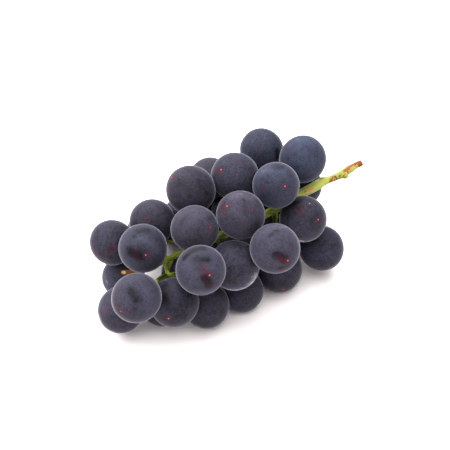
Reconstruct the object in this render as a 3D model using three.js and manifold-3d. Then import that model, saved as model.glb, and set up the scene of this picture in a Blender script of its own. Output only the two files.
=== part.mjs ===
// A bunch of dark grapes, lying as it was picked: round berries, each on its own stalklet, round one green
// stalk with a brown cut end. Millimetres, +Z up, the table at Z = 0, +X along the stalk to its cut end.
import * as THREE from "three";
import { mergeVertices } from "three/addons/utils/BufferGeometryUtils.js";
import Module from "manifold-3d";

const wasm = await Module();
wasm.setup();
const V = (x, y, z) => new THREE.Vector3(x, y, z);
const rad = THREE.MathUtils.degToRad;

// Driving dimensions
const BERRY_LENGTHENING = 1.03; // a berry's length over its width
const BERRY_PRESS = 0.7; // how far two touching berries squash into each other
const TABLE_PRESS = 0.8; // how far a resting berry squashes on the table
const SCAR_HEIGHT = 0.4; // the dry dot at a berry's far end stands this proud
const GAP = 0.3; // left between neighbours, so that no two solids touch
const STALK_CLEARANCE = 3.6; // from the stalk's middle to a berry's skin, at least
const BRANCH_WIDTH = { base: 3.0, tip: 2.4 };
const STALKLET_WIDTH = 1.9;
const FLARE = { width: 4.2, length: 0.7 }; // the end of a stalklet, on its berry
const STRAIGHT_START = 2.4; // a stalklet leaves its berry straight for this far
const LEAD = 9; // a stem leaves the stalk this much nearer to the cut end than its berries
const BARE_END = 45; // nothing leaves the stalk within this of its cut end
const BRANCH = {
  reach: 14, // a berry whose skin is farther than this from the stalk hangs on a side branch
  berries: 4, // at most, on one side branch
  stretch: 26, // along the stalk, between the berries of one side branch
  spread: rad(60), // round the stalk, between them
  halfway: 0.5, // how much of the way to its berries a side branch goes
};
const SIDES = { stalk: 9, branch: 6, stalklet: 5 };
const STEPS = { stalk: 36, branch: 5, stalkletLength: 2.8, stalkletLeast: 4 };

// How the photograph looks at the bunch. Pixels are those of its 450 x 450 frame.
const VIEW = { elevation: 40, turn: 26, distance: 490, aimHeight: 38, focal: 850, middle: 225 };

// The berries that show. `at` is the middle in the photograph (pixels) and `width` is real (mm). `height` is
// that of the middle over the table (mm), or 0 where the berry rests on it. `scar` is the dot at the far end
// (pixels), and `lead` replaces the usual one (mm).
const SEEN = [
  { at: [261.8, 150.1], width: 26.0, height: 60 },
  { at: [302.7, 159.2], width: 27.2, height: 65, scar: [310.0, 138.0] },
  { at: [276.0, 185.3], width: 26.0, height: 67, scar: [284.8, 186.3] },
  { at: [235.0, 176.4], width: 27.4, height: 64, scar: [221.3, 169.9] },
  { at: [210.0, 179.0], width: 25.6, height: 50, lead: -10 },
  { at: [190.8, 190.0], width: 27.6, height: 61, scar: [171.8, 178.0], lead: -14 },
  { at: [240.7, 215.0], width: 26.4, height: 61, scar: [227.3, 206.4] },
  { at: [194.7, 229.0], width: 26.0, height: 55, scar: [209.9, 227.7] },
  { at: [152.3, 221.7], width: 26.0, height: 44, scar: [146.7, 218.6], lead: -4 },
  { at: [112.6, 242.4], width: 25.4, height: 38 },
  { at: [142.9, 248.2], width: 26.4, height: 49, scar: [145.7, 255.0] },
  { at: [200.8, 270.0], width: 26.0, height: 54, scar: [209.4, 275.1] },
  { at: [234.4, 265.2], width: 27.6, height: 38 },
  { at: [274.9, 248.5], width: 26.6, height: 54, scar: [287.5, 260.2] },
  { at: [302.9, 219.0], width: 26.8, height: 44, scar: [317.8, 219.6] },
  { at: [321.4, 248.0], width: 26.4, height: 19 },
  { at: [136.6, 297.9], width: 25.6, height: 45, scar: [121.0, 311.0], lead: 5 },
  { at: [121.0, 309.6], width: 25.4, height: 14 },
  { at: [174.3, 302.2], width: 26.6, height: 30, scar: [168.6, 318.2], lead: 5 },
  { at: [206.7, 305.5], width: 25.2, height: 14 },
  { at: [241.0, 290.0], width: 25.6, height: 0 },
  { at: [278.8, 268.9], width: 27.4, height: 0, scar: [283.0, 289.0], lead: 14 },
  { at: [123.5, 277.0], width: 25.0, height: 0 },
  { at: [300.5, 185.5], width: 26.4, height: 37 },
  { at: [183.4, 217.6], width: 25.0, height: 34 },
  { at: [162.5, 303.5], width: 25.2, height: 0, lead: 15 },
];

// The berries behind and under those, where the photograph would have them if it saw through the bunch.
const HIDDEN = [
  { at: [160, 227], width: 25.4, height: 25, lead: -3 },
  { at: [180, 224], width: 25.6, height: 13 },
  { at: [181, 274], width: 24.6, height: 16 },
  { at: [213, 205], width: 26.0, height: 33 },
  { at: [206, 243], width: 26.2, height: 13 },
  { at: [236, 254], width: 25.4, height: 18 },
  { at: [236, 217], width: 26.6, height: 14 },
  { at: [233, 214], width: 25.0, height: 33 },
  { at: [235, 176], width: 25.8, height: 40 },
  { at: [268, 232], width: 26.0, height: 20 },
  { at: [271, 163], width: 26.2, height: 40 },
  { at: [273, 203], width: 26.4, height: 16 },
  { at: [301, 226], width: 25.6, height: 15 },
  { at: [265, 191], width: 25.0, height: 40 },
];

// The stalk's middle line from its tip to its cut end: place in the photograph (pixels), height over the
// table (mm) and real width (mm)
const STALK = [
  { at: [122, 272.5], height: 27.5, width: 2.2 },
  { at: [134, 271.5], height: 28, width: 2.4 },
  { at: [149, 268], height: 29, width: 2.8 },
  { at: [172, 257], height: 31, width: 3.4 },
  { at: [222, 236], height: 34, width: 4.0 },
  { at: [272, 211], height: 39, width: 4.8 },
  { at: [306, 191], height: 44.5, width: 5.6 },
  { at: [315, 186.5], height: 46, width: 6.0 },
  { at: [322, 182], height: 47, width: 5.8 },
  { at: [329, 179.6], height: 48, width: 4.2 },
  { at: [336, 177], height: 49, width: 4.4 },
  { at: [341.5, 174], height: 50, width: 4.8 },
  { at: [346, 172.2], height: 51, width: 5.8 },
  { at: [351.5, 167.5], height: 52.5, width: 4.8 },
  { at: [357, 165], height: 53.5, width: 3.8 },
  { at: [361.8, 162.6], height: 54.5, width: 3.7 },
];

// The photograph's eye, and the line of sight that a pixel stands for, in the bunch's own axes.
const ahead = V(0, Math.cos(rad(VIEW.elevation)), -Math.sin(rad(VIEW.elevation)));
const upward = V(0, Math.sin(rad(VIEW.elevation)), Math.cos(rad(VIEW.elevation)));
const rightward = V(1, 0, 0);
for (const v of [ahead, upward, rightward]) v.applyAxisAngle(V(0, 0, 1), -rad(VIEW.turn));
const eye = V(0, 0, VIEW.aimHeight).addScaledVector(ahead, -VIEW.distance);
function sightThrough([px, py]) {
  const sight = ahead.clone();
  sight.addScaledVector(rightward, (px - VIEW.middle) / VIEW.focal);
  sight.addScaledVector(upward, -(py - VIEW.middle) / VIEW.focal);
  return sight.normalize();
}
function placeAtHeight(pixel, height) {
  const sight = sightThrough(pixel);
  return eye.clone().addScaledVector(sight, (height - eye.z) / sight.z);
}

const stalkLine = new THREE.CatmullRomCurve3(STALK.map((s) => placeAtHeight(s.at, s.height)));
const stalkPoints = stalkLine.getSpacedPoints(80);
const stalkLength = stalkLine.getLength();

function makeBerry(given, seen) {
  const radius = given.width / 2;
  const resting = given.height === 0;
  const middle = placeAtHeight(given.at, resting ? radius - TABLE_PRESS : given.height);
  const longest = radius * BERRY_LENGTHENING;
  return { lead: LEAD, ...given, radius, longest, resting, seen, middle, sight: sightThrough(given.at) };
}
const berries = [...SEEN.map((b) => makeBerry(b, true)), ...HIDDEN.map((b) => makeBerry(b, false))];

// The berries settle until none bites deeper than a soft touch into another, the stalk or the table. One
// that shows slides only along its line of sight, and a hidden one gives way to it.
function settle() {
  const ROUNDS = 1200;
  const EACH_GIVES = 0.6;
  const move = (berry, push) => {
    if (!berry.seen) berry.middle.add(push);
    else if (!berry.resting) berry.middle.addScaledVector(berry.sight, push.dot(berry.sight));
  };
  for (let round = 0; round < ROUNDS; round++) {
    berries.forEach((a, i) => {
      for (const b of berries.slice(i + 1)) {
        const apart = b.middle.clone().sub(a.middle);
        const bite = a.radius + b.radius - BERRY_PRESS - apart.length();
        if (bite <= 0) continue;
        const alike = a.seen === b.seen;
        apart.setLength(bite * (alike ? EACH_GIVES : 1));
        if (alike || !b.seen) move(b, apart);
        if (alike || !a.seen) move(a, apart.negate());
      }
      for (const s of stalkPoints) {
        const away = a.middle.clone().sub(s);
        const bite = a.radius + STALK_CLEARANCE - away.length();
        if (bite > 0) move(a, away.setLength(bite));
      }
      const sunk = a.radius - TABLE_PRESS - a.middle.z;
      if (sunk > 0) move(a, V(0, 0, a.seen ? sunk / a.sight.z ** 2 : sunk));
    });
  }
}
settle();

// Where the line of sight through a berry's dry dot meets its skin
function dotOn(berry) {
  const toMiddle = berry.middle.clone().sub(eye);
  const sight = sightThrough(berry.scar);
  const along = toMiddle.dot(sight);
  const off = Math.sqrt(Math.max(toMiddle.lengthSq() - along * along, 0));
  const depth = Math.sqrt(Math.max(berry.radius * berry.radius - off * off, 0));
  return eye.clone().addScaledVector(sight, along - depth);
}

// How far a point is from the table and from every berry but its own
function roomAt(point, own) {
  const others = berries.filter((b) => b !== own);
  return others.reduce((room, b) => Math.min(room, b.middle.distanceTo(point) - b.longest), point.z);
}

// The direction nearest to the wanted one in which a stalklet has room to leave the berry
function freeSide(berry, wanted) {
  const TRIES = 400;
  const GOLDEN_ANGLE = Math.PI * (3 - Math.sqrt(5));
  const LOOK_OUT = [1, 3.5];
  const enough = STALKLET_WIDTH / 2 + 2 * GAP;
  let best = { score: -Infinity };
  for (let i = 0; i < TRIES; i++) {
    const z = 1 - (2 * i + 1) / TRIES;
    const across = Math.sqrt(1 - z * z);
    const side = V(across * Math.cos(i * GOLDEN_ANGLE), across * Math.sin(i * GOLDEN_ANGLE), z);
    const outside = LOOK_OUT.map((far) => berry.middle.clone().addScaledVector(side, berry.longest + far));
    const room = Math.min(...outside.map((point) => roomAt(point, berry)));
    const score = side.dot(wanted) + Math.min(room - enough, 0);
    if (score > best.score) best = { score, side };
  }
  return best.side;
}

// Places along the stalk are measured from its tip
function nearestOnStalk(p) {
  return stalkPoints.reduce((best, s) => (s.distanceTo(p) < best.distanceTo(p) ? s : best));
}
const stationOf = (p) => stalkPoints.indexOf(nearestOnStalk(p)) / (stalkPoints.length - 1) * stalkLength;
function onStalk(station) {
  return stalkLine.getPointAt(THREE.MathUtils.clamp(station, 0, stalkLength - BARE_END) / stalkLength);
}

// Moves a stem's point out of every berry that it would cut into
function clearBerries(point, width, gap) {
  for (const b of berries) {
    const away = point.clone().sub(b.middle);
    const bite = b.longest + width / 2 + gap - away.length();
    if (bite > 0) point.add(away.setLength(bite));
  }
}

// A way between two points that starts straight and then bends clear of every berry
function route(from, leaving, arriving, width) {
  const BENDS = 9;
  const ROUNDS = 160;
  const FIRM = { rounds: 15, pull: 0.05 };
  const PULL = 0.3;
  const SPARE = 0.2;
  const points = [from, leaving];
  for (let i = 1; i <= BENDS; i++) points.push(leaving.clone().lerp(arriving, i / BENDS));
  for (let round = 0; round < ROUNDS; round++) {
    const pull = round < ROUNDS - FIRM.rounds ? PULL : FIRM.pull;
    for (let i = 2; i < points.length - 1; i++) {
      const between = points[i - 1].clone().add(points[i + 1]).multiplyScalar(0.5);
      points[i].lerp(between, pull);
      clearBerries(points[i], width, GAP + SPARE);
      points[i].z = Math.max(points[i].z, width / 2 + GAP);
    }
  }
  return points;
}

for (const b of berries) {
  b.station = stationOf(b.middle);
  b.root = onStalk(b.station + b.lead);
  b.fromStalk = b.middle.clone().sub(nearestOnStalk(b.middle));
}

// Berries far from the stalk hang together on side branches
function makeBranches() {
  const branches = [];
  const outer = berries.filter((b) => b.fromStalk.length() - b.radius > BRANCH.reach);
  for (const b of outer.sort((p, q) => p.station - q.station)) {
    const home = branches.find((branch) =>
      branch.berries.length < BRANCH.berries
      && Math.abs(branch.berries[0].station - b.station) < BRANCH.stretch
      && branch.berries.every((other) => other.fromStalk.angleTo(b.fromStalk) < BRANCH.spread));
    if (home) home.berries.push(b);
    else branches.push({ berries: [b] });
  }
  return branches;
}

function layBranch(branch) {
  const TIP_ROUNDS = 60;
  const START_SHARE = 0.12;
  const count = branch.berries.length;
  const station = branch.berries.reduce((sum, b) => sum + b.station + b.lead, 0) / count;
  const middle = branch.berries.reduce((sum, b) => sum.add(b.middle), V(0, 0, 0)).divideScalar(count);
  const base = onStalk(station);
  const tip = base.clone().lerp(middle, BRANCH.halfway);
  for (let i = 0; i < TIP_ROUNDS; i++) clearBerries(tip, BRANCH_WIDTH.tip, 2 * GAP);
  branch.path = route(base, base.clone().lerp(tip, START_SHARE), tip, BRANCH_WIDTH.tip);
  for (const b of branch.berries) b.root = tip;
}

// A stalklet leaves its berry opposite the dry dot, as far as there is room
function layStalklet(berry) {
  const OPPOSITE = 0.8;
  const toRoot = berry.root.clone().sub(berry.middle).normalize();
  const dotSide = berry.scar && dotOn(berry).sub(berry.middle).normalize();
  const wanted = dotSide ? toRoot.clone().addScaledVector(dotSide, -OPPOSITE).normalize() : toRoot;
  berry.stemSide = freeSide(berry, wanted);
  berry.dotSide = dotSide ?? berry.stemSide.clone().negate();
  const start = berry.middle.clone().addScaledVector(berry.stemSide, berry.longest + GAP);
  const leaving = start.clone().addScaledVector(berry.stemSide, STRAIGHT_START);
  berry.path = route(start, leaving, berry.root.clone(), STALKLET_WIDTH);
}

const branches = makeBranches();
branches.forEach(layBranch);
berries.forEach(layStalklet);

// Solids
function solid(geometry) {
  geometry.deleteAttribute("normal");
  geometry.deleteAttribute("uv");
  const merged = mergeVertices(geometry, 1e-5);
  const vertProperties = Float32Array.from(merged.attributes.position.array);
  const triVerts = Uint32Array.from(merged.index.array);
  return new wasm.Manifold(new wasm.Mesh({ numProp: 3, vertProperties, triVerts }));
}
function geometryOf(manifold) {
  const { vertProperties, triVerts } = manifold.getMesh();
  const geometry = new THREE.BufferGeometry();
  geometry.setAttribute("position", new THREE.BufferAttribute(Float32Array.from(vertProperties), 3));
  geometry.setIndex(new THREE.BufferAttribute(Uint32Array.from(triVerts), 1));
  geometry.computeVertexNormals();
  return geometry;
}

// A berry: a ball round its own middle, a little longer towards its dry dot, pressed flat where it meets a
// neighbour or the table
const BERRY_SIDES = 14;
const BERRY_RINGS = 9;
function berryGeometry(berry) {
  const walls = berries.filter((b) => b !== berry).map((other) => {
    const normal = other.middle.clone().sub(berry.middle);
    const apart = normal.length();
    const share = (apart * apart + berry.radius ** 2 - other.radius ** 2) / (2 * apart);
    return { normal: normal.normalize(), reach: share - GAP / 2 };
  });
  const ball = new THREE.SphereGeometry(1, BERRY_SIDES, BERRY_RINGS);
  const turn = new THREE.Quaternion().setFromUnitVectors(V(0, 1, 0), berry.dotSide);
  const place = ball.attributes.position;
  for (let i = 0; i < place.count; i++) {
    const y = place.getY(i);
    const p = V(place.getX(i), y * BERRY_LENGTHENING, place.getZ(i)).multiplyScalar(berry.radius);
    const isPole = i <= BERRY_SIDES;
    if (isPole) p.y += SCAR_HEIGHT;
    p.applyQuaternion(turn);
    for (const wall of walls) {
      const over = p.dot(wall.normal) / wall.reach;
      if (over > 1) p.divideScalar(over);
    }
    place.setXYZ(i, p.x, p.y, p.z);
  }
  if (berry.middle.z > berry.radius) return ball;
  const under = new THREE.BoxGeometry(4 * berry.radius, 4 * berry.radius, 2 * berry.radius);
  under.translate(0, 0, -berry.middle.z - berry.radius);
  return geometryOf(solid(ball).subtract(solid(under)));
}

// A stem: a cylinder bent along its line, its width changing on the way. Its few sides stand out until its
// section has a round stem's area.
function stemSolid(line, widthAt, steps, sides) {
  const corner = 2 * Math.PI / sides;
  const standOut = Math.sqrt(corner / Math.sin(corner));
  const stem = new THREE.CylinderGeometry(standOut, standOut, 1, sides, steps);
  const frames = line.computeFrenetFrames(steps);
  const place = stem.attributes.position;
  for (let i = 0; i < place.count; i++) {
    const step = Math.round((place.getY(i) + 0.5) * steps);
    const p = line.getPointAt(step / steps);
    const half = widthAt(step / steps) / 2;
    p.addScaledVector(frames.binormals[step], place.getX(i) * half);
    p.addScaledVector(frames.normals[step], place.getZ(i) * half);
    place.setXYZ(i, p.x, p.y, p.z);
  }
  return solid(stem);
}

function mainStem() {
  const widthAt = (u) => {
    const s = stalkLine.getUtoTmapping(u) * (STALK.length - 1);
    const i = Math.min(Math.floor(s), STALK.length - 2);
    return THREE.MathUtils.lerp(STALK[i].width, STALK[i + 1].width, s - i);
  };
  return stemSolid(stalkLine, widthAt, STEPS.stalk, SIDES.stalk);
}

function sideBranch(branch) {
  const line = new THREE.CatmullRomCurve3(branch.path);
  const widthAt = (u) => THREE.MathUtils.lerp(BRANCH_WIDTH.base, BRANCH_WIDTH.tip, u);
  return stemSolid(line, widthAt, STEPS.branch, SIDES.branch);
}

function stalklet(berry) {
  const line = new THREE.CatmullRomCurve3(berry.path);
  const length = line.getLength();
  const steps = Math.max(STEPS.stalkletLeast, Math.round(length / STEPS.stalkletLength));
  const widthAt = (u) => (u * length < FLARE.length ? FLARE.width : STALKLET_WIDTH);
  return stemSolid(line, widthAt, steps, SIDES.stalklet);
}

// Crossing stems can seal a small hollow between them. Only the outermost surface is kept, which fills it.
function stalkGeometry() {
  const stems = [...branches.map(sideBranch), ...berries.map(stalklet)];
  const whole = stems.reduce((grown, stem) => grown.add(stem), mainStem());
  const surfaces = whole.decompose();
  return geometryOf(surfaces.reduce((most, other) => (other.volume() > most.volume() ? other : most)));
}

const SKIN = new THREE.MeshStandardMaterial({ color: 0x504a5e, roughness: 0.8 });
const GREEN = new THREE.MeshStandardMaterial({ color: 0x9aa04e, roughness: 0.65 });
const group = new THREE.Group();
berries.forEach((berry, i) => {
  const mesh = new THREE.Mesh(berryGeometry(berry), SKIN);
  mesh.name = `berry_${String(i + 1).padStart(2, "0")}`;
  mesh.position.copy(berry.middle);
  group.add(mesh);
});
const stalk = new THREE.Mesh(stalkGeometry(), GREEN);
stalk.name = "stalk";
group.add(stalk);
const box = new THREE.Box3().setFromObject(group);
const middle = box.getCenter(V(0, 0, 0));
group.position.set(-middle.x, -middle.y, -box.min.z);
export default group;
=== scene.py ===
# %% [markdown]
# A bunch of dark grapes, lying as it was picked. The frame gives one plain solid for every berry and one
# for the whole stalk. Each berry becomes a fine ball with its dry dot, its soft flats and its powdery
# bloom. The stalk becomes a smooth green stem with brown scars and a dry cut end. Everything is in
# metres. The solids already say how large each berry is and where it sits, so this lesson measures them
# and places no berry by eye.
# %% Load the frame
import math

import bpy
import numpy as np
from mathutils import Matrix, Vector
from mathutils.bvhtree import BVHTree


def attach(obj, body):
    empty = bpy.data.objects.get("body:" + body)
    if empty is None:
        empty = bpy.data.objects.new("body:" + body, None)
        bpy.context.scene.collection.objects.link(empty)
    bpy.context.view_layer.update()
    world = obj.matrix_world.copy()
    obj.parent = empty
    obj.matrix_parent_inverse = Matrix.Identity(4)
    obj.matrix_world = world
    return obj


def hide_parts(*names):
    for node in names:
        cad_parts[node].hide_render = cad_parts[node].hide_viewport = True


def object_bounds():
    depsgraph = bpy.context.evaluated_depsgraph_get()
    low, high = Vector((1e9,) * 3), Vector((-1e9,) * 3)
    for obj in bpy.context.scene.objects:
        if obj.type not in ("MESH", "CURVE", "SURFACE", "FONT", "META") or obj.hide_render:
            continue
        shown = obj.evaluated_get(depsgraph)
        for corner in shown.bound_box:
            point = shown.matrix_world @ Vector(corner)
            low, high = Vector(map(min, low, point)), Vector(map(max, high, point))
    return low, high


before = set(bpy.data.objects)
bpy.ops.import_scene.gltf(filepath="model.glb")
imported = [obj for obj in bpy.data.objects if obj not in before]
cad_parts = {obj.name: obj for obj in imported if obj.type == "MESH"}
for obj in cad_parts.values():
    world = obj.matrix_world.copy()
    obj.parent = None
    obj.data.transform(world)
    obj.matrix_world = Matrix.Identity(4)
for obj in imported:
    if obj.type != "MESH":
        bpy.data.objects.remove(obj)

MM = 0.001
BERRY_PREFIX = "berry_"
solid_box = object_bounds()
berry_names = sorted(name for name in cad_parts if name.startswith(BERRY_PREFIX))
print("berries:", len(berry_names))
print("box in mm:", [round(c / MM, 1) for corner in solid_box for c in corner])

# %% [markdown]
# The camera looks down on the bunch from its front left, through a long lens, as a product photograph
# does. A long lens keeps the berries at the back nearly as large as those in front. The view's own
# numbers are kept here, because small marks on the berries are placed later by where the photograph shows
# them.
# %% The camera
PICTURE = 450
SENSOR = 36
LENS = 68
TURN = math.radians(26)
RISE = math.radians(40)
DISTANCE = 490 * MM
AIM = Vector((-3.10, 1.52, 38)) * MM

camera = bpy.data.objects.new("camera", bpy.data.cameras.new("camera"))
camera.data.sensor_width = SENSOR
camera.data.lens = LENS
camera.rotation_euler = (math.pi / 2 - RISE, 0, -TURN)
turned = camera.rotation_euler.to_matrix()
camera.location = AIM + turned @ Vector((0, 0, DISTANCE))
bpy.context.scene.collection.objects.link(camera)
bpy.context.scene.camera = camera
print("camera at, in mm:", [round(c / MM) for c in camera.location])


def sight(pixel):
    """The direction from the camera through a pixel of the photograph."""
    across = (pixel[0] - PICTURE / 2) / PICTURE * SENSOR / LENS
    up = (PICTURE / 2 - pixel[1]) / PICTURE * SENSOR / LENS
    return (turned @ Vector((across, up, -1))).normalized()


# %% [markdown]
# Node trees make both the shapes and the finishes below. Small helpers add a node, feed its sockets with
# numbers or links, and do sums, so that each tree reads as a short recipe. The last ones start and end a
# geometry tree, run it on a mesh, and keep the result as a plain piece.
# %% Helpers for node trees
def feed(tree, socket, value):
    """Links an output to a socket, or sets the socket to a number."""
    if isinstance(value, bpy.types.NodeSocket):
        tree.links.new(value, socket)
    else:
        socket.default_value = value


def add(tree, kind, inputs=None, **settings):
    """A new node with its settings and its inputs."""
    node = tree.nodes.new(kind)
    for name, value in settings.items():
        setattr(node, name, value)
    for name, value in (inputs or {}).items():
        feed(tree, node.inputs[name], value)
    return node


def calc(tree, operation, *values):
    """A sum of numbers or links."""
    node = add(tree, "ShaderNodeMath", operation=operation)
    for socket, value in zip(node.inputs, values):
        feed(tree, socket, value)
    return node.outputs[0]


def vector(tree, operation, *values):
    """A sum of directions or places."""
    node = add(tree, "ShaderNodeVectorMath", operation=operation)
    sockets = [node.inputs[0], node.inputs[3]] if operation == "SCALE" else node.inputs
    for socket, value in zip(sockets, values):
        feed(tree, socket, value)
    return node.outputs["Value" if operation in ("LENGTH", "DOT_PRODUCT") else "Vector"]


def noise(tree, place, scale, detail=2.0, seed=0.0, rough=0.5):
    """Soft noise from 0 to 1, with `scale` features to each unit of length."""
    inputs = {"Vector": place, "W": seed, "Scale": scale, "Detail": detail, "Roughness": rough}
    return add(tree, "ShaderNodeTexNoise", inputs, noise_dimensions="4D").outputs[0]


def ramp(tree, value, low, high, to_low=0.0, to_high=1.0):
    """A smooth step of a value from one number to another."""
    node = add(tree, "ShaderNodeMapRange", interpolation_type="SMOOTHSTEP")
    for socket, number in zip(node.inputs, (value, low, high, to_low, to_high)):
        feed(tree, socket, number)
    return node.outputs[0]


def new_shape_tree(name, sizes):
    """An empty geometry tree with named inputs, and what goes in and out of it."""
    tree = bpy.data.node_groups.new(name, "GeometryNodeTree")
    tree.interface.new_socket("Geometry", in_out="INPUT", socket_type="NodeSocketGeometry")
    tree.interface.new_socket("Material", in_out="INPUT", socket_type="NodeSocketMaterial")
    for label, value in sizes.items():
        kind = {int: "Int", float: "Float", tuple: "Vector"}[type(value)]
        socket = tree.interface.new_socket(label, in_out="INPUT", socket_type=f"NodeSocket{kind}")
        socket.default_value = value
    tree.interface.new_socket("Geometry", in_out="OUTPUT", socket_type="NodeSocketGeometry")
    return tree, tree.nodes.new("NodeGroupInput").outputs, tree.nodes.new("NodeGroupOutput").inputs[0]


def finish_tree(tree, shape, material, result):
    """Every tree ends as real faces with their material."""
    real = add(tree, "GeometryNodeRealizeInstances", {"Geometry": shape})
    dressed = add(tree, "GeometryNodeSetMaterial", {"Geometry": real.outputs[0], "Material": material})
    tree.links.new(dressed.outputs[0], result)


def grow(name, tree, inputs, mesh=None):
    """Runs a geometry tree on a mesh and keeps the result as a plain object at the origin."""
    piece = bpy.data.objects.new(name, mesh or bpy.data.meshes.new(name))
    bpy.context.scene.collection.objects.link(piece)
    modifier = piece.modifiers.new(tree.name, "NODES")
    modifier.node_group = tree
    for socket in tree.interface.items_tree:
        if socket.in_out == "INPUT" and socket.name in inputs:
            modifier[socket.identifier] = inputs[socket.name]
    return make_plain(piece)


def make_plain(piece):
    """Applies what the modifiers do and takes them off."""
    evaluated = piece.evaluated_get(bpy.context.evaluated_depsgraph_get())
    mesh = bpy.data.meshes.new_from_object(evaluated)
    piece.modifiers.clear()
    piece.data = mesh
    return piece


tree_helpers = (add, calc, vector, noise, ramp, new_shape_tree, finish_tree, grow)
print("helpers for trees:", ", ".join(helper.__name__ for helper in tree_helpers))

# %% [markdown]
# A mesh keeps its points as one long run of numbers. Reading them all at once in to an array, and writing
# them back at once, is far quicker than a loop over points, and the stalk has tens of thousands of them.
# %% Helpers for points
def read_points(mesh, field="co"):
    """The points of a mesh, or their normals, as rows of three numbers."""
    flat = np.empty(len(mesh.vertices) * 3, np.float32)
    mesh.vertices.foreach_get(field, flat)
    return flat.reshape(-1, 3).astype(float)


def write_points(mesh, place):
    """Moves every point of a mesh."""
    mesh.vertices.foreach_set("co", place.astype(np.float32).ravel())
    mesh.update()


def keep(mesh, name, values):
    """Stores one number, or one direction, on every point of a mesh for the finish to read."""
    kind, field = ("FLOAT", "value") if values.ndim == 1 else ("FLOAT_VECTOR", "vector")
    mesh.attributes.new(name, kind, "POINT").data.foreach_set(field, values.astype(np.float32).ravel())


def unit(way):
    """The same direction, one unit long."""
    return way / np.linalg.norm(way)


print("points in the stalk's solid:", len(read_points(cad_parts["stalk"].data)))

# %% [markdown]
# A berry is a ball, a little longer from its stalklet to its dry dot, which is where the flower once sat.
# The solid has only a few faces, but its corners lie on the true surface. So a ball fitted through the
# corners gives the middle and the radius exactly, as long as corners that a neighbour pushed inwards are
# left out. The corner that stands farthest out is the dry dot.
# %% Measure the berries
LENGTHENING = 1.03
CORNER_PLACES = 7
FIT_ROUNDS = 8
OFF_THE_BALL = 0.03
CAP_REACH = 0.9 * MM
CAP_DEPTH = 0.5 * MM


def points_of(node):
    """The corners of a node's solid, each of them once."""
    return np.unique(read_points(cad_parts[node].data).round(CORNER_PLACES), axis=0)


def fit_ball(points):
    """The middle and the radius of the ball that most of the points lie on."""
    kept = points
    for _ in range(FIT_ROUNDS):
        rows = np.c_[2 * kept, np.ones(len(kept))]
        answer = np.linalg.lstsq(rows, (kept ** 2).sum(1), rcond=None)[0]
        middle = answer[:3]
        radius = math.sqrt(answer[3] + middle @ middle)
        off = np.abs(np.linalg.norm(points - middle, axis=1) / radius - 1)
        kept = points[off < OFF_THE_BALL]
    return middle, radius


def measure(node):
    """A berry's middle, its radius, and the way from its middle to its dry dot."""
    points = points_of(node)
    middle, radius = fit_ball(points)
    scar = unit(points[np.argmax(np.linalg.norm(points - middle, axis=1))] - middle)
    extra = (points - middle) @ scar * (1 - 1 / LENGTHENING)
    middle, radius = fit_ball(points - np.outer(extra, scar))
    return {"middle": middle, "radius": radius, "scar": scar}


berries = {name: measure(name) for name in berry_names}
stalk_points = points_of("stalk")
for berry in berries.values():
    off = stalk_points - berry["middle"]
    far = np.linalg.norm(off, axis=1)
    near = far < max(far.min() + CAP_DEPTH, berry["radius"] * LENGTHENING + CAP_REACH)
    berry["stem"] = unit(off[near].mean(0))
widths = [2 * berry["radius"] / MM for berry in berries.values()]
print(f"berry widths from {min(widths):.1f} to {max(widths):.1f} mm")

# %% [markdown]
# All berries follow one rule, so one geometry tree makes them. It starts from a ball with its poles at
# the dry dot and at the stalklet's end, crowds the rings towards the poles where the small forms are, and
# then adds slow unevenness, the dot on its low collar and the hollow round the stalklet. Every size is a
# named input, so that a berry only has to say in which sizes it differs.
# %% The berry tree
BERRY = {
    "Radius": 13 * MM,
    "Lengthening": LENGTHENING,
    "Sides": 96,
    "Rings": 84,
    "Crowding": 0.7,
    "Unevenness": 0.35 * MM,
    "Uneven Scale": 1.1,
    "Seed": 0.0,
    "Scar Height": 0.28 * MM,
    "Scar Width": 0.5 * MM,
    "Collar Depth": 0.22 * MM,
    "Stem Side": (0.0, 0.0, -1.0),
    "Stem Hollow": 0.5 * MM,
    "Stem Width": 3.2 * MM,
}
NOISE_MIDDLE = 0.55
COLLAR_SHARE = 3.2


def bell(tree, distance, width):
    """One at no distance, falling softly to nothing past the width."""
    share = calc(tree, "DIVIDE", distance, width)
    return calc(tree, "EXPONENT", calc(tree, "MULTIPLY", calc(tree, "POWER", share, 2.0), -1.0))


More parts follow.
